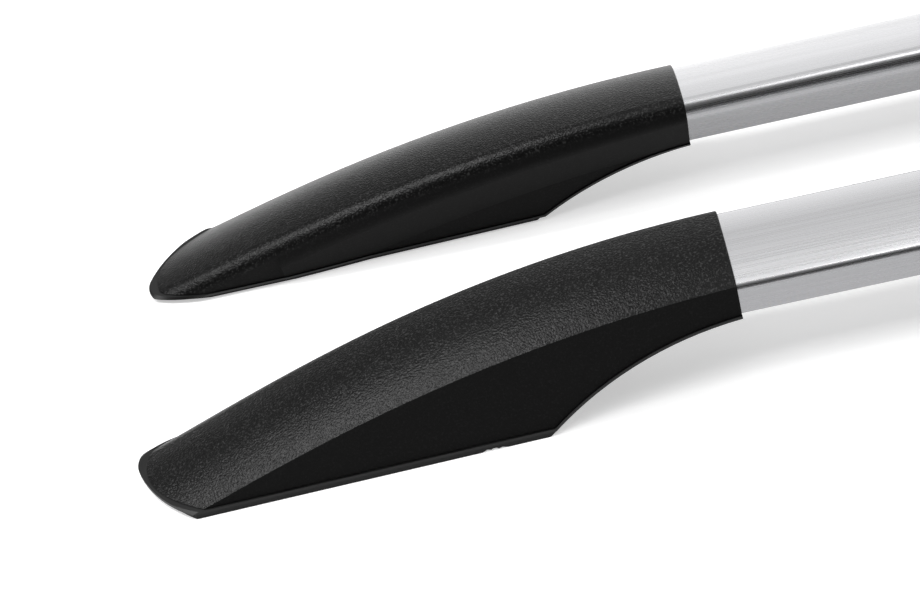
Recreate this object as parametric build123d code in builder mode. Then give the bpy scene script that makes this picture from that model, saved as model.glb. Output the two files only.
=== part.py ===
from build123d import *
from math import atan, cos, hypot, radians, sin, sqrt, tan
import os

# A pair of roof side rails. +X runs along the rails to the rear, +Z is up, and the two rails mirror each
# other about the XZ plane. Each rail is drawn in its own leaning frame: across (inwards positive) and up.

# The pair, in millimetres and degrees
overall_length = 1600.0  # to the tips of the noses before they are rounded
base_spacing = 161.0  # between the centre lines of the two rails' bases
lean = 10.3  # each rail leans inwards over its bases, which are cut to the slope of a roof

# Rail extrusion
rail_width = 38.5  # at the underside of the neck
rail_wall_height = 12.8  # outer wall, underside to crease
rail_back_height = 28.9  # inner wall, underside to the corner before it is rounded
inner_slant = 20.3  # the inner wall leans out by this much above the underside of the neck
rail_dome = 3.8  # rise of the domed top above its chord
rail_wall = 1.8
ridge_radius = 6.1

# Outer form of a foot
foot_length = 273.0  # neck end to nose
neck_height = 30.5  # underside of the neck above the base, measured along the lean
neck_slope = 1.1  # slope of the top line at the neck end
nose_drop = 56.9  # fall of the top line from neck to nose beside that slope
nose_lift = 5.0  # the top line flattens out by this much at the nose
nose_lift_power = 8  # how late along the foot it does so
outer_flare = 1.75  # the outer wall turns out towards the nose
inner_flare = 1.45  # the inner wall turns in towards the nose
nose_radius = 70.0  # the nose sweeps round in plan from the outer wall to its tip on the inner wall
nose_corner_radius = 16.0  # at the tip
nose_turn_radius = 22.0  # where the outer wall turns into the sweep
nose_slant = 4.0  # the tip's wall slants back by this much above the seam
ridge_swell = 3.3  # the ridge softens by this much from neck to nose
cover_proud = 1.4  # cover outside the rail
arch_radius = 153.0  # hollow underside between heel and neck
arch_slope = 3.05  # slope of that underside at the neck end

# Foot pieces
cover_wall = 2.2
gasket_thickness = 2.4
gasket_inset = 0.2  # gasket inside the lip
gasket_setback = 2.2  # further in along the inner edge
gasket_nose_setback = 4.0  # further back at the nose
gasket_hole_radius = 6.5  # clears the inserts' mouths
lip_thickness = 1.2
lip_step = 0.8  # lip outside the cover
floor_thickness = 3.0
rib_thickness = 2.4
rib_height = 9.0  # above the floor
seam_gap = 0.3
fit_gap = 0.2
rail_gap = 0.1
mouth_radius = 0.8
overshoot = 1.0  # tool solids run this far past the faces they cut

# Spigot that plugs into the rail
rail_engagement = 18.0  # rail inside the neck
spigot_gap = 0.15
spigot_wall = 2.6
spigot_root = 26.0  # from the neck end towards the nose
spigot_reach = 60.0  # from the neck end into the rail

# Fasteners
insert_radius = 4.5
insert_bore_radius = 2.5
insert_length = 12.0
insert_distances = (118.0, 196.0)  # from the neck end
bolt_clearance_radius = 3.4
boss_wall = 3.0
boss_cap = 2.0
cover_screw_distances = (157.0, 216.0)  # from the neck end
cover_screw_length = 7.0
rail_screw_distance = 9.0  # from the neck end
rail_screw_spread = 16.0
rail_screw_length = 9.0
screw_head_radius = 3.4
screw_head_height = 1.8
screw_shank_radius = 1.75
screw_tip = 1.5
screw_gap = 0.1
post_radius = 4.0

# Wear: a torn nick in the outer edge of one gasket
nick_distance = 108.0
nick_length = 11.0
nick_depth = 1.5
nick_height = 1.5
nick_teeth = ((0.2, 0.5), (0.35, 0.2), (0.5, 1.0), (0.65, 0.35), (0.8, 0.7))  # along and up, as fractions

# Values worked out from the sizes above
neck_x = foot_length - overall_length / 2
base_y = -base_spacing / 2
rail_floor = neck_height + lip_thickness + rail_gap
seam_level = gasket_thickness + lip_thickness
floor_level = gasket_thickness + floor_thickness
top_radius = (foot_length**2 + nose_drop**2) / (2 * nose_drop)
top_width = rail_width + (rail_floor + rail_back_height - neck_height) * tan(radians(inner_slant))
chord_angle = atan((rail_back_height - rail_wall_height) / top_width)
dome_chord = hypot(top_width, rail_back_height - rail_wall_height)
dome_half_angle = 2 * atan(2 * rail_dome / dome_chord)
dome_radius = dome_chord / 2 / sin(dome_half_angle)
crease_slope = chord_angle + dome_half_angle
back_slope = chord_angle - dome_half_angle
reach = 2 * foot_length  # tool solids run past the foot on every side
nose_inner = rail_width / 2 + cover_proud + foot_length * tan(radians(inner_flare))
nose_outer = rail_width / 2 + cover_proud + foot_length * tan(radians(outer_flare))
nose_level = (seam_level + nose_inner * sin(radians(lean))) / cos(radians(lean))
station_count = 7

across_dir = Vector(0, cos(radians(lean)), -sin(radians(lean)))
up_dir = Vector(0, sin(radians(lean)), cos(radians(lean)))
side_plane = Plane((neck_x, base_y, 0), x_dir=(1, 0, 0), z_dir=across_dir * -1)
plan_plane = Plane((neck_x, base_y, 0), x_dir=(1, 0, 0), z_dir=up_dir)


def station(distance):
    """Section plane of the left front foot, at a distance from the neck end towards the nose."""
    return Plane((neck_x - distance, base_y, 0), x_dir=across_dir, z_dir=(1, 0, 0))


def top_drop(distance):
    """Fall of the foot's top line: an even slope, an arc on top of it, and a flatter end at the nose."""
    arc = top_radius - sqrt(top_radius**2 - distance**2)
    return distance * tan(radians(neck_slope)) + arc - nose_lift * (distance / foot_length) ** nose_lift_power


def rail_section(distance, grow, bottom, drop=0.0, turn_out=0.0, turn_in=0.0, swell=0.0, slant=inner_slant):
    """The rail's outline grown evenly by an offset: outer wall, crease, domed top, ridge and slanted inner wall."""
    rise = tan(radians(slant))
    inner = rail_width / 2 + grow + turn_in
    outer = -rail_width / 2 - grow - turn_out
    crease_gain = 1 / cos(crease_slope) - tan(crease_slope)
    back_gain = (1 / cos(back_slope) + tan(back_slope) / cos(radians(slant))) / (1 - tan(back_slope) * rise)
    crease = rail_floor + rail_wall_height + grow * crease_gain - drop
    back = rail_floor + rail_back_height + grow * back_gain - drop
    waist = neck_height - drop - grow * tan(radians(slant) / 2)
    top = inner + (back - waist) * rise
    radius = dome_radius + grow
    half_chord = hypot(top - outer, back - crease) / 2
    sagitta = radius - sqrt(radius**2 - half_chord**2)
    foot = [(inner, bottom), (inner, waist)] if bottom < waist else [(inner + (bottom - waist) * rise, bottom)]
    with BuildSketch(station(distance)) as section:
        with BuildLine():
            Polyline((outer, crease), (outer, bottom), *foot, (top, back))
            SagittaArc((outer, crease), (top, back), sagitta)
        make_face()
        fillet(section.vertices().sort_by(Axis.Y)[-1], radius=ridge_radius + grow + swell)
    return section.sketch


def rail_length_of(grow, bottom, start, end):
    """A straight length of the rail's outline between two distances from the neck end."""
    with BuildPart() as length:
        extrude(rail_section(start, grow, bottom), amount=start - end, dir=(1, 0, 0))
    return length.part


def nose_outline(grow, level, inset):
    """Plan of the foot seen down its lean: straight walls, and a nose that sweeps round to the inner wall."""
    offset_out = grow - cover_proud
    radius = nose_radius + offset_out - inset
    centre = nose_radius - foot_length
    tip = nose_inner + offset_out
    side = -nose_outer - offset_out
    with BuildSketch(plan_plane.offset(level)) as outline:
        with BuildLine():
            start = (centre - sqrt(radius**2 - (nose_inner - side) ** 2), side)
            end = (centre - sqrt(radius**2 - (tip - nose_inner) ** 2), tip)
            Polyline(end, (centre, tip), (centre, reach), (reach, reach), (reach, side), start)
            RadiusArc(start, end, radius)
        make_face()
        tip_corner, turn = outline.vertices().sort_by(Axis.X)[:2]
        fillet(tip_corner, radius=nose_corner_radius + offset_out)
        fillet(turn, radius=nose_turn_radius + offset_out)
    return outline.sketch


def nose_limits(grow):
    """Everything behind the nose: its wall stands up to the seam and slants back above it."""
    steps = ((-reach, 0), (nose_level, 0), (nose_level + nose_slant, nose_slant), (reach, nose_slant))
    with BuildPart() as limits:
        loft(sections=[nose_outline(grow, level, inset) for level, inset in steps], ruled=True)
    return limits.part


def foot_form(grow, start=0.0):
    """The rail's outline carried down the top arc to the nose, its walls flared and its nose rounded in plan."""
    step = (foot_length + lip_step + overshoot - start) / (station_count - 1)
    sections = []
    for index in range(station_count):
        distance = start + index * step
        turn_out = distance * tan(radians(outer_flare))
        turn_in = distance * tan(radians(inner_flare))
        swell = ridge_swell * distance / foot_length
        slant = inner_slant * (1 - (distance / foot_length) ** 2)
        drop = top_drop(distance)
        sections.append(rail_section(distance, grow, -reach / 2, drop, turn_out, turn_in, swell, slant))
    with BuildPart() as form:
        loft(sections=sections)
        add(nose_limits(grow), mode=Mode.INTERSECT)
    return form.part


def space_under(level, arch_growth):
    """All that lies below a level and inside the arch of the underside, grown by a thickness."""
    arch_x = arch_radius * sin(radians(arch_slope))
    arch_z = neck_height - arch_radius * cos(radians(arch_slope))
    with BuildPart() as space:
        with BuildSketch(side_plane):
            with Locations((arch_x, arch_z)):
                Circle(arch_radius + arch_growth)
        extrude(amount=reach, both=True)
        with BuildSketch(Plane.XY.offset(level)):
            with Locations((neck_x, base_y)):
                Rectangle(2 * reach, 2 * reach)
        extrude(amount=-reach)
    return space.part


def upright(distance, level):
    """A plane facing up, on the base's centre line at a distance from the neck end."""
    return Plane((neck_x - distance, base_y, level))


def screw_solid(seat, length, grow=0.0):
    """A countersunk screw, its head on the seat plane and its shank along the plane's normal."""
    with BuildPart() as screw:
        with BuildSketch(Plane(seat.origin, x_dir=seat.x_dir, z_dir=seat.y_dir * -1)):
            with BuildLine():
                Polyline(
                    (0, -grow),
                    (screw_head_radius + grow, -grow),
                    (screw_shank_radius + grow, screw_head_height),
                    (screw_shank_radius + grow, length - screw_tip),
                    (0, length + grow),
                    close=True,
                )
            make_face()
        revolve(axis=Axis(seat.origin, seat.z_dir))
    return screw.part


def cylinder_up(distance, radius, bottom, top):
    """An upright cylinder on the base's centre line, between two levels."""
    with BuildPart() as post:
        with BuildSketch(upright(distance, bottom)):
            Circle(radius)
        extrude(amount=top - bottom)
    return post.part


cover_screw_seats = [upright(distance, gasket_thickness) for distance in cover_screw_distances]
neck_seat_level = neck_height - rail_screw_distance * tan(radians(arch_slope))
rail_screw_seats = [
    Plane(
        side_plane.from_local_coords((-rail_screw_distance, neck_seat_level, side * rail_screw_spread / 2)),
        x_dir=(1, 0, 0),
        z_dir=up_dir,
    )
    for side in (-1, 1)
]
insert_top = gasket_thickness + insert_length
gasket_grow = cover_proud + lip_step - gasket_inset
nick_outer = rail_width / 2 + gasket_grow + nick_distance * tan(radians(outer_flare))
nick_edge = base_y - nick_outer / cos(radians(lean))

# Outer form, the hollow inside the cover and the room that the rail's end takes
cover_form = foot_form(cover_proud)
cavity_form = foot_form(cover_proud - cover_wall, start=-rail_gap)
inner_form = foot_form(cover_proud - cover_wall - fit_gap)
rail_room = rail_length_of(rail_gap, rail_floor - rail_gap, rail_engagement + rail_gap, -reach)
below_base = space_under(gasket_thickness, 0)

with BuildPart() as cover_posts:
    for distance in cover_screw_distances:
        add(cylinder_up(distance, post_radius, floor_level, floor_level + reach / 2))
    add(cover_form, mode=Mode.INTERSECT)

with BuildPart() as cover:
    add(cover_form)
    mouth = cover.faces().sort_by(Axis.X)[-1]
    fillet(mouth.edges().sort_by(Axis.Z)[1:], radius=mouth_radius)
    add(cavity_form, mode=Mode.SUBTRACT)
    add(cover_posts.part)
    add(rail_room, mode=Mode.SUBTRACT)
    add(space_under(seam_level + seam_gap, lip_thickness + seam_gap), mode=Mode.SUBTRACT)
    for seat in cover_screw_seats:
        add(screw_solid(seat, cover_screw_length, screw_gap), mode=Mode.SUBTRACT)

with BuildPart() as base_floor:
    add(inner_form)
    add(space_under(floor_level, floor_thickness), mode=Mode.INTERSECT)

with BuildPart() as base_ribs:
    with BuildSketch(upright(insert_distances[0], floor_level)):
        with Locations(((insert_distances[0] - insert_distances[1]) / 2, 0)):
            Rectangle(insert_distances[1] - insert_distances[0], rib_thickness)
        for distance in insert_distances:
            with Locations((insert_distances[0] - distance, 0)):
                Rectangle(rib_thickness, 2 * rail_width)
    extrude(amount=rib_height)
    for distance in insert_distances:
        add(cylinder_up(distance, insert_radius + boss_wall, floor_level, insert_top + boss_cap))
    add(inner_form, mode=Mode.INTERSECT)
    for distance in cover_screw_distances:
        add(cylinder_up(distance, post_radius + fit_gap, floor_level, floor_level + reach), mode=Mode.SUBTRACT)

with BuildPart() as base:
    add(foot_form(cover_proud + lip_step))
    add(space_under(seam_level, lip_thickness), mode=Mode.INTERSECT)
    add(base_floor.part)
    add(base_ribs.part)
    spigot_grow = -rail_wall - spigot_gap
    spigot_bottom = rail_floor + rail_wall + spigot_gap
    add(rail_length_of(spigot_grow, 0, spigot_root, rail_engagement + rail_gap))
    add(below_base, mode=Mode.SUBTRACT)
    add(rail_room, mode=Mode.SUBTRACT)
    add(rail_length_of(spigot_grow, spigot_bottom, spigot_root, -spigot_reach))
    hollow_grow = spigot_grow - spigot_wall
    hollow_end = spigot_wall - spigot_reach
    add(
        rail_length_of(hollow_grow, spigot_bottom + spigot_wall, spigot_root, hollow_end),
        mode=Mode.SUBTRACT,
    )
    for distance in insert_distances:
        add(cylinder_up(distance, insert_radius + screw_gap, 0, insert_top), mode=Mode.SUBTRACT)
        add(cylinder_up(distance, bolt_clearance_radius, 0, insert_top + reach / 2), mode=Mode.SUBTRACT)
    for seat in cover_screw_seats:
        add(screw_solid(seat, cover_screw_length, screw_gap), mode=Mode.SUBTRACT)
    for seat in rail_screw_seats:
        add(screw_solid(seat, rail_screw_length, screw_gap), mode=Mode.SUBTRACT)

with BuildPart() as footprint_form:
    add(foot_form(gasket_grow))
    add(below_base, mode=Mode.SUBTRACT)

with BuildPart() as pad:
    extrude(footprint_form.faces().sort_by(Axis.Z)[0], amount=gasket_thickness, dir=(0, 0, -1))

with BuildPart() as gasket:
    add(pad.part)
    add(pad.part.moved(Location((gasket_nose_setback, -gasket_setback, 0))), mode=Mode.INTERSECT)
    add(space_under(0, 0), mode=Mode.SUBTRACT)
    for distance in insert_distances:
        add(
            cylinder_up(distance, gasket_hole_radius, -overshoot, gasket_thickness + overshoot),
            mode=Mode.SUBTRACT,
        )

with BuildPart() as torn_gasket:
    add(gasket.part)
    with BuildSketch(Plane((neck_x - nick_distance, nick_edge - overshoot, 0), z_dir=(0, 1, 0), x_dir=(-1, 0, 0))):
        with BuildLine():
            teeth = [(along * nick_length, up * nick_height) for along, up in nick_teeth]
            Polyline((0, -overshoot), (0, 0), *teeth, (nick_length, 0), (nick_length, -overshoot), close=True)
        make_face()
    extrude(amount=overshoot + nick_depth, mode=Mode.SUBTRACT)

with BuildPart() as inserts:
    for distance in insert_distances:
        add(cylinder_up(distance, insert_radius, gasket_thickness, insert_top))
    for distance in insert_distances:
        add(cylinder_up(distance, insert_bore_radius, 0, insert_top + overshoot), mode=Mode.SUBTRACT)

with BuildPart() as cover_screws:
    for seat in cover_screw_seats:
        add(screw_solid(seat, cover_screw_length))

with BuildPart() as rail_screws:
    for seat in rail_screw_seats:
        add(screw_solid(seat, rail_screw_length))

rail_end = neck_x * 2
with BuildPart() as rail:
    add(rail_length_of(0, rail_floor, rail_engagement, rail_end - rail_engagement))
    add(
        rail_length_of(-rail_wall, rail_floor + rail_wall, rail_engagement, rail_end - rail_engagement),
        mode=Mode.SUBTRACT,
    )
    for seat in rail_screw_seats:
        add(screw_solid(seat, rail_screw_length, screw_gap), mode=Mode.SUBTRACT)
        add(screw_solid(seat, rail_screw_length, screw_gap).mirror(Plane.YZ), mode=Mode.SUBTRACT)

os.makedirs("parts", exist_ok=True)
foot_pieces = {
    "cover": cover,
    "base": base,
    "gasket": gasket,
    "inserts": inserts,
    "cover_screws": cover_screws,
    "rail_screws": rail_screws,
}
corners = {
    "left_front": (),
    "right_front": (Plane.XZ,),
    "left_rear": (Plane.YZ,),
    "right_rear": (Plane.XZ, Plane.YZ),
}
pieces = {"left_rail": rail.part, "right_rail": rail.part.mirror(Plane.XZ)}
for corner, planes in corners.items():
    for name, piece in foot_pieces.items():
        placed = piece.part
        for plane in planes:
            placed = placed.mirror(plane)
        pieces[f"{corner}_{name}"] = placed
pieces["left_front_gasket"] = torn_gasket.part

for name, piece in pieces.items():
    piece.label = name
    export_step(piece, f"parts/{name}.step")
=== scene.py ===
"""Looks for a pair of roof side rails: satin aluminium rails on swept feet of grained black plastic.

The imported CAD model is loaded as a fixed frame. Its nodes get procedural finishes. The two rails, whose crease
and lower edges the CAD leaves sharp, are worked out again with numpy. Lengths are in metres unless they say mm.
"""

from math import cos, pi, radians, sin, sqrt, tan

import bpy
import numpy as np
from mathutils import Matrix, Vector


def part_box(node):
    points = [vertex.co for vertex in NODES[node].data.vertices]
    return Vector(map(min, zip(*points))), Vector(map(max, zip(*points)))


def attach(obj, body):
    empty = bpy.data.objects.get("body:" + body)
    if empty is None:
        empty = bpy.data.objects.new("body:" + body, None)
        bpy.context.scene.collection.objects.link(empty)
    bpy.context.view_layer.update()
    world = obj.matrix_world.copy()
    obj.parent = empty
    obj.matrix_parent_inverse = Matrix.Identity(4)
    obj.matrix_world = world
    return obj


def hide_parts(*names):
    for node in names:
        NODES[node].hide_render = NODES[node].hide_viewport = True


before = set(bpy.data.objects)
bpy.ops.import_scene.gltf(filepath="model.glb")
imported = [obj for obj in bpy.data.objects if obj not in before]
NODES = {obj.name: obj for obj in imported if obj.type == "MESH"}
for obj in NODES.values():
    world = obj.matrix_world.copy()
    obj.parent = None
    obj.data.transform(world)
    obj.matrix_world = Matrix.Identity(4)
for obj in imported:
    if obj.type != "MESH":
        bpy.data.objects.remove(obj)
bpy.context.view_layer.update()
MM = 0.001

bl_info = {
    "name": "Roof side rail pair",
    "version": (1, 0, 0),
    "blender": (4, 5, 0),
    "location": "3D view > Sidebar > Roof rails",
    "description": "Rails, finishes and stage for a pair of roof side rails",
    "category": "Object",
}


def colour(hexcode):
    """An sRGB hex value as linear red, green, blue and alpha."""
    channels = np.array([int(hexcode[i : i + 2], 16) for i in (1, 3, 5)]) / 255
    linear = np.where(channels <= 0.04045, channels / 12.92, ((channels + 0.055) / 1.055) ** 2.4)
    return (*linear.tolist(), 1.0)


def hue(name, description, hexcode):
    """A colour property that starts at an sRGB hex value."""
    return bpy.props.FloatVectorProperty(
        name=name, description=description, subtype="COLOR", size=4, min=0, max=1, default=colour(hexcode)
    )


def millimetres(name, description, value):
    """A length property that is written in millimetres."""
    return bpy.props.FloatProperty(name=name, description=description, default=value, min=0)


def share(name, description, value):
    """A number from 0 to 1."""
    return bpy.props.FloatProperty(
        name=name, description=description, default=value, min=0, max=1, subtype="FACTOR"
    )


def degrees(name, description, value):
    """An angle property that is written in degrees."""
    return bpy.props.FloatProperty(name=name, description=description + ", degrees", default=value)


def watts(name, description, value):
    """A lamp's power."""
    return bpy.props.FloatProperty(name=name, description=description, default=value, min=0, unit="POWER")


class RailShape(bpy.types.PropertyGroup):
    """Section of the extruded rails, seen along them."""

    lean: degrees("Lean", "Turn of the section towards the car's middle", 10.3)
    floor_width: millimetres("Floor width", "Underside, wall to wall, mm", 38.98)
    wall_height: millimetres("Wall height", "Outer wall, underside to crease, mm", 12.8)
    back_height: millimetres("Back height", "Inner wall, underside to the unrounded corner, mm", 28.9)
    slant: degrees("Slant", "Lean of the inner wall", 20.3)
    dome_radius: millimetres("Dome radius", "Radius of the domed top, mm", 91.59)
    crease_radius: millimetres("Crease radius", "Rounding of the crease, mm", 3.4)
    ridge_radius: millimetres("Ridge radius", "Rounding of the inner ridge, mm", 6.1)
    edge_radius: millimetres("Edge radius", "Rounding of the lower edges, mm", 0.8)
    wall: millimetres("Wall", "Thickness of the metal, mm", 1.8)


class RailFinish(bpy.types.PropertyGroup):
    """Satin anodised aluminium of the rails."""

    metal: hue("Metal", "Bare tone of the anodised metal", "#DADADC")
    # Painted shade: the upright walls get this darker metal, standing in for the dimmer reflections they show
    painted_shade_wall_metal: hue("Metal of the walls", "Duller tone of the upright walls", "#969698")
    roughness: share("Roughness", "Blur of the reflections", 0.27)
    # The die's own lines are about a tenth of this apart, and are drawn coarser so that they show
    line_spacing: millimetres("Line spacing", "Distance between the fine drawn lines, mm", 0.7)
    line_length: millimetres("Line length", "Length of a drawn line, mm", 160.0)
    line_depth: millimetres("Line depth", "Depth of the drawn lines, mm", 0.002)


class CoverFinish(bpy.types.PropertyGroup):
    """Grained black plastic of the covers."""

    plastic: hue("Plastic", "Black of the moulded plastic", "#0A0A0A")
    # Painted glints: lighter grain tips, strongest on the dome, stand in for grains that catch the light
    painted_glint_tip: hue("Grain tips", "Worn tips of the grain", "#2C2C2C")
    roughness: share("Roughness", "Blur of the reflections on the domed top", 0.31)
    # The real grain is about half as wide, and is drawn coarser so that it shows
    grain_size: millimetres("Grain size", "Width of one grain, mm", 0.8)
    grain_height: millimetres("Grain height", "Height of the grain on the domed top, mm", 0.17)


class BaseFinish(bpy.types.PropertyGroup):
    """Smooth black plastic of the bases."""

    plastic: hue("Plastic", "Black of the moulded plastic", "#0E0E0E")
    roughness: share("Roughness", "Blur of the reflections", 0.42)
    flow_size: millimetres("Flow marks", "Width of the mould's flow marks, mm", 18.0)


class GasketFinish(bpy.types.PropertyGroup):
    """Matt rubber of the gaskets."""

    rubber: hue("Rubber", "Black of the rubber", "#101010")
    roughness: share("Roughness", "Blur of the reflections", 0.72)
    pore_size: millimetres("Pore size", "Width of the pores, mm", 0.5)
    pore_depth: millimetres("Pore depth", "Depth of the pores, mm", 0.05)


class FastenerFinish(bpy.types.PropertyGroup):
    """Brass of the inserts and zinc plated steel of the screws."""

    brass: hue("Brass", "Tone of the turned brass", "#C9A45A")
    steel: hue("Steel", "Tone of the zinc plating", "#B9BBBD")
    mark_size: millimetres("Tool marks", "Width of the marks that turning and plating leave, mm", 0.25)
    mark_depth: millimetres("Tool mark depth", "Depth of those marks, mm", 0.01)


class StageSettings(bpy.types.PropertyGroup):
    """Camera, floor and light."""

    elevation: degrees("Elevation", "Camera above the horizon", 35.63)
    yaw: degrees("Yaw", "Camera turn about the vertical", -4.49)
    roll: degrees("Roll", "Camera turn about its line of sight", 14.84)
    distance: bpy.props.FloatProperty(
        name="Distance", description="Camera to its target", default=1.0741, unit="LENGTH"
    )
    target: bpy.props.FloatVectorProperty(
        name="Target",
        description="Point in the middle of the picture",
        default=(-0.64792, 0.00239, 0),
        size=3,
        subtype="XYZ",
    )
    lens: millimetres("Lens", "Focal length on a sensor 36 mm wide, mm", 90.72)
    floor: hue("Floor", "White of the floor", "#D6D6D6")
    feet_power: watts("Feet light", "Power of the softbox past the feet", 19)
    rail_power: watts("Rail light", "Power of the strip over the rails", 4)
    top_power: watts("Top light", "Power of the softbox overhead", 24)


SETTINGS = {
    "roofrail_section": RailShape,
    "roofrail_rail": RailFinish,
    "roofrail_cover": CoverFinish,
    "roofrail_base": BaseFinish,
    "roofrail_gasket": GasketFinish,
    "roofrail_fastener": FastenerFinish,
    "roofrail_stage": StageSettings,
}


def add_node(tree, kind, links=None, **settings):
    """Adds a node, sets its attributes, and its sockets from numbers, colours or other nodes' outputs."""
    node = tree.nodes.new(kind)
    for name, value in settings.items():
        setattr(node, name, value)
    for socket, value in (links or {}).items():
        if isinstance(value, bpy.types.NodeSocket):
            tree.links.new(value, node.inputs[socket])
        else:
            node.inputs[socket].default_value = value
    return node


def new_material(name):
    """An empty node material, with its tree and its object coordinates in metres."""
    material = bpy.data.materials.new(name)
    material.use_nodes = True
    tree = material.node_tree
    tree.nodes.clear()
    place = add_node(tree, "ShaderNodeTexCoord").outputs["Object"]
    return material, tree, place


def close_material(tree, shader):
    """Links a finished shader to the material's output."""
    add_node(tree, "ShaderNodeOutputMaterial", {"Surface": shader.outputs[0]})


def ramp(tree, value, low, high, start=0.0, end=1.0):
    """A value carried smoothly from one range to another."""
    node = add_node(
        tree,
        "ShaderNodeMapRange",
        {"Value": value, "From Min": low, "From Max": high, "To Min": start, "To Max": end},
        interpolation_type="SMOOTHSTEP",
    )
    return node.outputs["Result"]


def upward(tree):
    """How far a surface faces up: 0 on an upright wall, 1 on a level top."""
    turned = add_node(tree, "ShaderNodeTexCoord").outputs["Normal"]
    return add_node(tree, "ShaderNodeSeparateXYZ", {"Vector": turned}).outputs["Z"]


def lighter(tone, gain):
    """A colour with its three channels raised by a gain."""
    return (*(gain * channel for channel in tone[:3]), 1.0)


def dress(suffix, material):
    """Gives every CAD node whose name ends so this material on all its slots."""
    for name, node in NODES.items():
        if name.endswith(suffix):
            node.data.materials.clear()
            node.data.materials.append(material)


def anodised_aluminium(finish):
    """Extruded and satin anodised aluminium: the die leaves fine lines along the length.

    They stretch reflections across the rail. The upright walls are given a duller, darker metal: painted shade
    for the dimmer reflections they show.
    """
    material, tree, place = new_material("satin_anodised_aluminium")
    across = 1 / (finish.line_spacing * MM)
    along = 1 / (finish.line_length * MM)
    lines = add_node(tree, "ShaderNodeMapping", {"Vector": place, "Scale": (along, across, across)})
    drawn = add_node(
        tree,
        "ShaderNodeTexNoise",
        {"Vector": lines.outputs[0], "Scale": 1.0, "Detail": 3.0, "Roughness": 0.6},
    ).outputs["Fac"]
    # Broad bands, nine lines wide and twice as long, where the anodising took a little differently
    broad = add_node(
        tree, "ShaderNodeMapping", {"Vector": place, "Scale": (along / 2, across / 9, across / 9)}
    )
    bands = add_node(
        tree, "ShaderNodeTexNoise", {"Vector": broad.outputs[0], "Scale": 1.0, "Detail": 2.0}
    ).outputs["Fac"]
    # Painted shade: darker metal on the upright walls, the bare tone on the domed top, by how far the surface
    # faces up
    metal_with_painted_wall_shade = add_node(
        tree,
        "ShaderNodeMix",
        {"Factor": ramp(tree, upward(tree), 0.2, 0.6), "A": finish.painted_shade_wall_metal, "B": finish.metal},
        data_type="RGBA",
    )
    shade = ramp(tree, bands, 0.3, 0.7, 0.94, 1.0)
    tone = add_node(
        tree,
        "ShaderNodeMix",
        {"Factor": 1.0, "A": metal_with_painted_wall_shade.outputs["Result"], "B": shade},
        data_type="RGBA",
        blend_type="MULTIPLY",
    )
    bump = add_node(
        tree, "ShaderNodeBump", {"Height": drawn, "Strength": 0.6, "Distance": finish.line_depth * MM}
    ).outputs["Normal"]
    shader = add_node(
        tree,
        "ShaderNodeBsdfPrincipled",
        {
            "Base Color": tone.outputs["Result"],
            "Metallic": 1.0,
            "Roughness": ramp(tree, drawn, 0.2, 0.8, finish.roughness - 0.05, finish.roughness + 0.07),
            "Normal": bump,
        },
    )
    close_material(tree, shader)
    return material


def grained_plastic(finish):
    """Black polypropylene moulded against an etched tool: a fine grain, strong and satin on the dome.

    On the walls, which slide along the tool as the cover leaves it, the grain is faint and the sheen matt.
    """
    material, tree, place = new_material("grained_black_polypropylene")
    scale = 1 / (finish.grain_size * MM)
    cells = add_node(
        tree,
        "ShaderNodeTexVoronoi",
        {"Vector": place, "Scale": scale, "Randomness": 1.0},
        feature="SMOOTH_F1",
    ).outputs["Distance"]
    fine = add_node(
        tree, "ShaderNodeTexNoise", {"Vector": place, "Scale": scale * 0.8, "Detail": 3.0}
    ).outputs["Fac"]
    height = add_node(tree, "ShaderNodeMath", {0: cells, 1: fine}, operation="SUBTRACT").outputs[0]
    up = upward(tree)
    wall, dome = 0.25, 0.6
    matt_walls = 0.8
    strength = ramp(tree, up, wall, dome, 0.15, 1.0)
    bump = add_node(
        tree, "ShaderNodeBump", {"Height": height, "Strength": strength, "Distance": finish.grain_height * MM}
    ).outputs["Normal"]
    # Painted glints: the grain's tips are lightened, most on the dome, in place of their sparkle
    tips = add_node(
        tree, "ShaderNodeMath", {0: ramp(tree, fine, 0.52, 0.68), 1: strength}, operation="MULTIPLY"
    ).outputs[0]
    tone = add_node(
        tree,
        "ShaderNodeMix",
        {"Factor": tips, "A": finish.plastic, "B": finish.painted_glint_tip},
        data_type="RGBA",
    )
    shader = add_node(
        tree,
        "ShaderNodeBsdfPrincipled",
        {
            "Base Color": tone.outputs["Result"],
            "Roughness": ramp(tree, up, wall, dome, matt_walls, finish.roughness),
            "Specular IOR Level": 0.15,
            "Normal": bump,
        },
    )
    close_material(tree, shader)
    return material


def smooth_plastic(finish):
    """Black polyamide of the bases: smooth from the mould, with faint flow marks in its sheen."""
    material, tree, place = new_material("smooth_black_polyamide")
    flow = add_node(
        tree, "ShaderNodeTexNoise", {"Vector": place, "Scale": 1 / (finish.flow_size * MM), "Detail": 4.0}
    ).outputs["Fac"]
    tone = add_node(
        tree,
        "ShaderNodeMix",
        {"Factor": ramp(tree, flow, 0.35, 0.65), "A": finish.plastic, "B": lighter(finish.plastic, 1.3)},
        data_type="RGBA",
    )
    shader = add_node(
        tree,
        "ShaderNodeBsdfPrincipled",
        {
            "Base Color": tone.outputs["Result"],
            "Roughness": ramp(tree, flow, 0.3, 0.7, finish.roughness - 0.05, finish.roughness + 0.05),
            "Specular IOR Level": 0.3,
        },
    )
    close_material(tree, shader)
    return material


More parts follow.
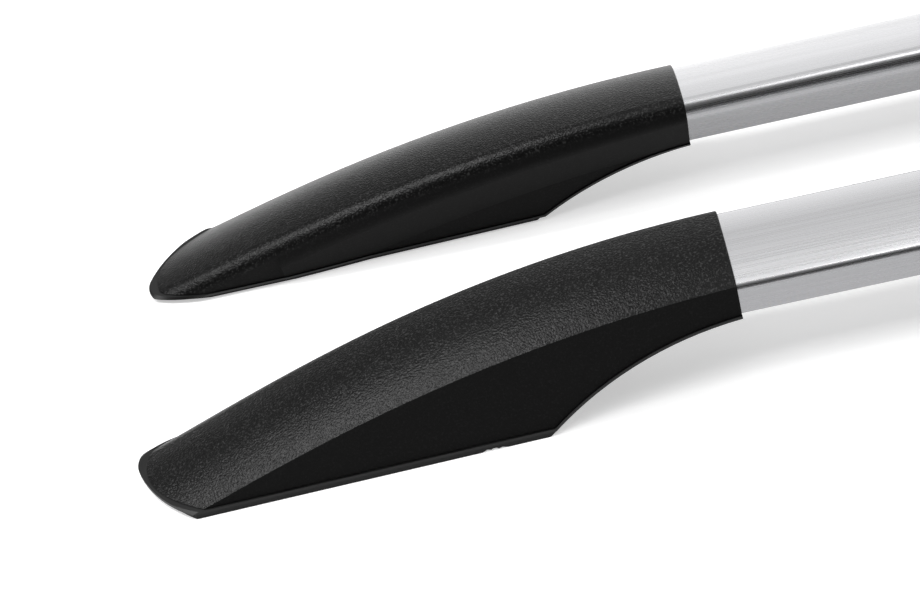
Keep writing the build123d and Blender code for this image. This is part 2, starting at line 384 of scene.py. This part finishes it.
def gasket_rubber(finish):
    """Die cut EPDM rubber: matt, with fine pores."""
    material, tree, place = new_material("matt_epdm_rubber")
    pores = add_node(
        tree, "ShaderNodeTexNoise", {"Vector": place, "Scale": 1 / (finish.pore_size * MM), "Detail": 2.0}
    ).outputs["Fac"]
    tone = add_node(
        tree,
        "ShaderNodeMix",
        {"Factor": ramp(tree, pores, 0.4, 0.7), "A": finish.rubber, "B": lighter(finish.rubber, 1.5)},
        data_type="RGBA",
    )
    bump = add_node(
        tree, "ShaderNodeBump", {"Height": pores, "Strength": 0.5, "Distance": finish.pore_depth * MM}
    ).outputs["Normal"]
    shader = add_node(
        tree,
        "ShaderNodeBsdfPrincipled",
        {
            "Base Color": tone.outputs["Result"],
            "Roughness": finish.roughness,
            "Specular IOR Level": 0.3,
            "Normal": bump,
        },
    )
    close_material(tree, shader)
    return material


def fastener_metal(name, metal, finish, roughness):
    """Turned brass or zinc plated steel, with the fine mottle that tool or plating leaves in its sheen."""
    material, tree, place = new_material(name)
    marks = add_node(
        tree, "ShaderNodeTexNoise", {"Vector": place, "Scale": 1 / (finish.mark_size * MM), "Detail": 2.0}
    ).outputs["Fac"]
    bump = add_node(
        tree, "ShaderNodeBump", {"Height": marks, "Strength": 0.3, "Distance": finish.mark_depth * MM}
    ).outputs["Normal"]
    shader = add_node(
        tree,
        "ShaderNodeBsdfPrincipled",
        {
            "Base Color": metal,
            "Metallic": 1.0,
            "Roughness": ramp(tree, marks, 0.3, 0.7, roughness - 0.08, roughness + 0.08),
            "Normal": bump,
        },
    )
    close_material(tree, shader)
    return material


def bow(centre, radius, start, end, count):
    """Points of a circle's arc: centre + radius * (cos a, sin a), with a running evenly from start to end."""
    angle = np.linspace(start, end, count)
    return np.array(centre) + radius * np.stack((np.cos(angle), np.sin(angle)), axis=1)


# Points on the roundings of the rail's section and on its dome, and rings along its length
EDGE_POINTS, CREASE_POINTS, DOME_POINTS, RIDGE_POINTS = 7, 15, 50, 29
RAIL_RINGS = 23
INNER_RADIUS = 0.4  # mm, least rounding inside the tube


def rail_outline(shape, inset):
    """Outline of the rail in mm, drawn in by an inset: u runs along the underside to the inner wall, v up.

    The dome is an arc of radius R about O, through the crease (0, wall height) and the unrounded corner.
    A rounding of radius r between the dome and a straight wall has its centre r inside the wall and R - r
    from O, so it meets both without a kink. The two lower corners are rounded between straight lines in the
    same way. A straight wall gets two more points, a short hold away from its roundings, so it looks flat.
    """
    slant = radians(shape.slant)
    radius = shape.dome_radius - inset
    crease_r = max(shape.crease_radius - inset, INNER_RADIUS)
    ridge_r = shape.ridge_radius - inset
    edge_r = max(shape.edge_radius - inset, INNER_RADIUS)
    crease = np.array((0, shape.wall_height))
    corner = np.array((shape.floor_width + shape.back_height * tan(slant), shape.back_height))
    half = np.linalg.norm(corner - crease) / 2
    chord = (corner - crease) / (2 * half)
    across = np.array((chord[1], -chord[0]))
    hub = (crease + corner) / 2 + across * sqrt(shape.dome_radius**2 - half**2)
    outward = np.array((cos(slant), -sin(slant)))
    upward = np.array((sin(slant), cos(slant)))
    bend = inset + crease_r
    crease_hub = np.array((bend, hub[1] + sqrt((radius - crease_r) ** 2 - (bend - hub[0]) ** 2)))
    ridge_foot = np.array((shape.floor_width, 0)) - (inset + ridge_r) * outward
    along = (hub - ridge_foot) @ upward
    beside = np.linalg.norm(hub - ridge_foot - along * upward)
    ridge_hub = ridge_foot + (along + sqrt((radius - ridge_r) ** 2 - beside**2)) * upward
    low = inset + edge_r
    edge_hub = np.array((shape.floor_width + (low * sin(slant) - low) / cos(slant), low))
    dome_start, dome_end = (np.arctan2(*(place - hub)[::-1]) for place in (crease_hub, ridge_hub))
    hold = 0.1
    return np.concatenate(
        (
            bow((low, low), edge_r, -pi / 2, -pi, EDGE_POINTS),
            ((inset, low + hold), (inset, crease_hub[1] - hold)),
            bow(crease_hub, crease_r, pi, dome_start, CREASE_POINTS),
            bow(hub, radius, dome_start, dome_end, DOME_POINTS)[1:-1],
            bow(ridge_hub, ridge_r, dome_end, -slant, RIDGE_POINTS),
            (ridge_hub + ridge_r * outward - hold * upward, edge_hub + edge_r * outward + hold * upward),
            bow(edge_hub, edge_r, -slant, -pi / 2, EDGE_POINTS),
            ((edge_hub[0] - hold, inset), (low + hold, inset)),
        )
    )


def rail_tube(name, node, shape, side):
    """The hollow rail: the section's outline, and the same drawn in by the wall, carried along x.

    A point (u, v) of the section stands at y = side * (edge + u cos(lean) + v sin(lean)) and
    z = foot - u sin(lean) + v cos(lean), where edge is the outer lower corner's place and foot its height.
    A narrow rim at each end keeps the flat end faces from bending the shading of the long ones.
    """
    low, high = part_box(node)
    lean = radians(shape.lean)
    rings = np.stack([rail_outline(shape, inset) for inset in (0.0, shape.wall)]) * MM
    edge = -max(abs(low[1]), abs(high[1]))
    foot = low[2] + shape.floor_width * MM * sin(lean)
    u, v = rings[..., 0], rings[..., 1]
    y = side * (edge + u * cos(lean) + v * sin(lean))
    z = foot - u * sin(lean) + v * cos(lean)
    rim = 0.2 * MM
    stations = np.concatenate(([low[0]], np.linspace(low[0] + rim, high[0] - rim, RAIL_RINGS), [high[0]]))
    x = np.broadcast_to(stations[:, None, None], (len(stations), *y.shape))
    grid = np.stack((x, np.broadcast_to(y, x.shape), np.broadcast_to(z, x.shape)), axis=-1)
    count = rings.shape[1]
    index = np.arange(grid[..., 0].size).reshape(grid.shape[:3])
    after = np.roll(index, -1, axis=2)
    sides = np.stack((index[:-1], after[:-1], after[1:], index[1:]), axis=-1)
    outer, inner = sides[:, 0].reshape(-1, 4), sides[:, 1, :, ::-1].reshape(-1, 4)
    ends = np.stack((index[:, 0], index[:, 1], after[:, 1], after[:, 0]), axis=-1)
    quads = np.concatenate((outer, inner, ends[0], ends[-1, :, ::-1]))
    if side < 0:
        quads = quads[:, ::-1]
    mesh = bpy.data.meshes.new(name)
    mesh.from_pydata(grid.reshape(-1, 3).tolist(), [], quads.tolist())
    smooth = np.arange(len(quads)) < len(quads) - 2 * count
    mesh.polygons.foreach_set("use_smooth", smooth)
    mesh.validate()
    piece = bpy.data.objects.new(name, mesh)
    bpy.context.scene.collection.objects.link(piece)
    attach(piece, "root")
    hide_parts(node)
    return piece


class ROOFRAIL_OT_rails(bpy.types.Operator):
    """Makes both rails with their rounded crease and edges, in satin anodised aluminium"""

    bl_idname = "roofrail.rails"
    bl_label = "Rails"

    def execute(self, context):
        shape = context.scene.roofrail_section
        metal = anodised_aluminium(context.scene.roofrail_rail)
        for node, side in (("left_rail", 1), ("right_rail", -1)):
            rail_tube("satin_" + node, node, shape, side).data.materials.append(metal)
        return {"FINISHED"}


class ROOFRAIL_OT_finish_covers(bpy.types.Operator):
    """Gives the foot covers their grained black plastic"""

    bl_idname = "roofrail.finish_covers"
    bl_label = "Finish covers"

    def execute(self, context):
        dress("_cover", grained_plastic(context.scene.roofrail_cover))
        return {"FINISHED"}


class ROOFRAIL_OT_finish_bases(bpy.types.Operator):
    """Gives the bases their smooth black plastic"""

    bl_idname = "roofrail.finish_bases"
    bl_label = "Finish bases"

    def execute(self, context):
        dress("_base", smooth_plastic(context.scene.roofrail_base))
        return {"FINISHED"}


class ROOFRAIL_OT_finish_gaskets(bpy.types.Operator):
    """Gives the gaskets their matt rubber"""

    bl_idname = "roofrail.finish_gaskets"
    bl_label = "Finish gaskets"

    def execute(self, context):
        dress("_gasket", gasket_rubber(context.scene.roofrail_gasket))
        return {"FINISHED"}


class ROOFRAIL_OT_finish_fasteners(bpy.types.Operator):
    """Gives the inserts their brass and the screws their zinc plated steel"""

    bl_idname = "roofrail.finish_fasteners"
    bl_label = "Finish fasteners"

    def execute(self, context):
        finish = context.scene.roofrail_fastener
        dress("_inserts", fastener_metal("turned_brass", finish.brass, finish, 0.3))
        dress("_screws", fastener_metal("zinc_plated_steel", finish.steel, finish, 0.34))
        return {"FINISHED"}


def camera_matrix(stage):
    """Camera place: back from the target along elevation and yaw, then rolled about the line of sight."""
    elevation, yaw, roll = radians(stage.elevation), radians(stage.yaw), radians(stage.roll)
    right = Vector((cos(yaw), -sin(yaw), 0))
    ahead = Vector((sin(yaw) * cos(elevation), cos(yaw) * cos(elevation), -sin(elevation)))
    above = right.cross(ahead)
    x = right * cos(roll) - above * sin(roll)
    y = right * sin(roll) + above * cos(roll)
    place = Vector(stage.target) - ahead * stage.distance
    matrix = Matrix((x, y, -ahead)).transposed().to_4x4()
    matrix.translation = place
    return matrix


# Brightness of the studio by the angle round the rails: 0 is the horizon behind the camera, 0.5 is overhead
# and 1 is the far horizon
STUDIO = (
    (0.0, 0.03),
    (0.25, 0.04),
    (0.36, 0.14),
    (0.46, 0.4),
    (0.56, 0.5),
    (0.66, 0.5),
    (0.74, 0.44),
    (0.8, 0.72),
    (1.0, 0.85),
)


def studio_world(scene):
    """Studio of pale walls and ceiling, darker behind the camera and past the feet, towards -x."""
    world = bpy.data.worlds.new("studio")
    world.use_nodes = True
    tree = world.node_tree
    tree.nodes.clear()
    way = add_node(
        tree, "ShaderNodeSeparateXYZ", {"Vector": add_node(tree, "ShaderNodeTexCoord").outputs["Generated"]}
    ).outputs
    ahead = add_node(tree, "ShaderNodeMath", {0: way["Y"], 1: -1.0}, operation="MULTIPLY").outputs[0]
    angle = add_node(tree, "ShaderNodeMath", {0: way["Z"], 1: ahead}, operation="ARCTAN2").outputs[0]
    turn = add_node(tree, "ShaderNodeMath", {0: angle, 1: pi}, operation="DIVIDE").outputs[0]
    tones = add_node(tree, "ShaderNodeValToRGB", {"Fac": turn})
    stops = tones.color_ramp.elements
    while len(stops) < len(STUDIO):
        stops.new(1.0)
    for stop, (position, tone) in zip(stops, STUDIO):
        stop.position = position
        stop.color = (tone, tone, tone, 1)
    strength = ramp(tree, way["X"], -0.4, 0.06, 0.45, 1.5)
    studio = add_node(tree, "ShaderNodeBackground", {"Color": tones.outputs["Color"], "Strength": strength})
    add_node(tree, "ShaderNodeOutputWorld", {"Surface": studio.outputs[0]})
    scene.world = world


def white_floor(stage):
    """White studio floor: it takes the shadows, and a glow that is seen but not cast lifts it to white."""
    material, tree, _ = new_material("white_studio_floor")
    matt = add_node(tree, "ShaderNodeBsdfDiffuse", {"Color": stage.floor})
    glow = add_node(tree, "ShaderNodeEmission", {"Color": (1, 1, 1, 1), "Strength": 0.5})
    lifted = add_node(tree, "ShaderNodeAddShader", {0: matt.outputs[0], 1: glow.outputs[0]})
    path = add_node(tree, "ShaderNodeLightPath").outputs
    mirrored = add_node(
        tree,
        "ShaderNodeMath",
        {0: path["Is Glossy Ray"], 1: path["Is Transmission Ray"]},
        operation="MAXIMUM",
    ).outputs[0]
    seen = add_node(
        tree, "ShaderNodeMath", {0: path["Is Camera Ray"], 1: mirrored}, operation="MAXIMUM"
    ).outputs[0]
    shader = add_node(tree, "ShaderNodeMixShader", {0: seen, 1: matt.outputs[0], 2: lifted.outputs[0]})
    close_material(tree, shader)
    return material


# Lamps by name: place of the middle, then length along the rails and width
LAMPS = {
    "feet_softbox": ((-1.45, 0.08, 1.25), (1.3, 0.3)),
    "rail_strip": ((0.3, -0.14, 1.3), (1.3, 0.3)),
    "top_softbox": ((-0.2, -0.6, 1.7), (3.2, 0.7)),
}
RAIL_LEVEL = 0.04  # height that the lamps are aimed at
FLOOR_REACH = 12.0  # from the middle of the floor to its edges


def lamp_above(scene, name, power):
    """A rectangular lamp that faces the line of the rails."""
    place, size = LAMPS[name]
    light = bpy.data.lights.new(name, "AREA")
    light.shape, light.energy = "RECTANGLE", power
    light.size, light.size_y = size
    lamp = bpy.data.objects.new(name, light)
    lamp.location = place
    aim = Vector((place[0], 0, RAIL_LEVEL)) - lamp.location
    lamp.rotation_euler = aim.to_track_quat("-Z", "Y").to_euler()
    scene.collection.objects.link(lamp)
    return lamp


class ROOFRAIL_OT_stage(bpy.types.Operator):
    """Sets up the camera, the white floor and the studio light"""

    bl_idname = "roofrail.stage"
    bl_label = "Set stage"

    def execute(self, context):
        scene, stage = context.scene, context.scene.roofrail_stage
        lens = bpy.data.cameras.new("photo_camera")
        lens.sensor_width, lens.lens = 36, stage.lens
        lens.clip_start, lens.clip_end = 0.01, 100
        camera = bpy.data.objects.new("photo_camera", lens)
        camera.matrix_world = camera_matrix(stage)
        scene.collection.objects.link(camera)
        scene.camera = camera
        signs = ((-1, -1), (1, -1), (1, 1), (-1, 1))
        corners = [(x * FLOOR_REACH, y * FLOOR_REACH, 0) for x, y in signs]
        mesh = bpy.data.meshes.new("floor")
        mesh.from_pydata(corners, [], [(0, 1, 2, 3)])
        mesh.materials.append(white_floor(stage))
        floor = bpy.data.objects.new("floor", mesh)
        scene.collection.objects.link(floor)
        lamp_above(scene, "feet_softbox", stage.feet_power)
        lamp_above(scene, "rail_strip", stage.rail_power)
        lamp_above(scene, "top_softbox", stage.top_power).visible_glossy = False
        studio_world(scene)
        scene.view_settings.view_transform = "Standard"
        return {"FINISHED"}


class ROOFRAIL_PT_panel(bpy.types.Panel):
    """Lists the steps that dress the rails"""

    bl_idname = "ROOFRAIL_PT_panel"
    bl_label = "Roof side rails"
    bl_space_type = "VIEW_3D"
    bl_region_type = "UI"
    bl_category = "Roof rails"

    def draw(self, context):
        for operator in OPERATORS:
            self.layout.operator(operator.bl_idname)


OPERATORS = (
    ROOFRAIL_OT_rails,
    ROOFRAIL_OT_finish_covers,
    ROOFRAIL_OT_finish_bases,
    ROOFRAIL_OT_finish_gaskets,
    ROOFRAIL_OT_finish_fasteners,
    ROOFRAIL_OT_stage,
)


def register():
    """Registers the classes and hangs the settings on the scene."""
    for group in (*SETTINGS.values(), *OPERATORS, ROOFRAIL_PT_panel):
        bpy.utils.register_class(group)
    for name, group in SETTINGS.items():
        setattr(bpy.types.Scene, name, bpy.props.PointerProperty(type=group))


def unregister():
    """Takes the settings and the classes away again."""
    for name in SETTINGS:
        delattr(bpy.types.Scene, name)
    for group in reversed((*SETTINGS.values(), *OPERATORS, ROOFRAIL_PT_panel)):
        bpy.utils.unregister_class(group)


def main():
    """Dresses the frame step by step."""
    register()
    bpy.ops.roofrail.rails()
    bpy.ops.roofrail.finish_covers()
    bpy.ops.roofrail.finish_bases()
    bpy.ops.roofrail.finish_gaskets()
    bpy.ops.roofrail.finish_fasteners()
    bpy.ops.roofrail.stage()


if __name__ == "__main__":
    main()
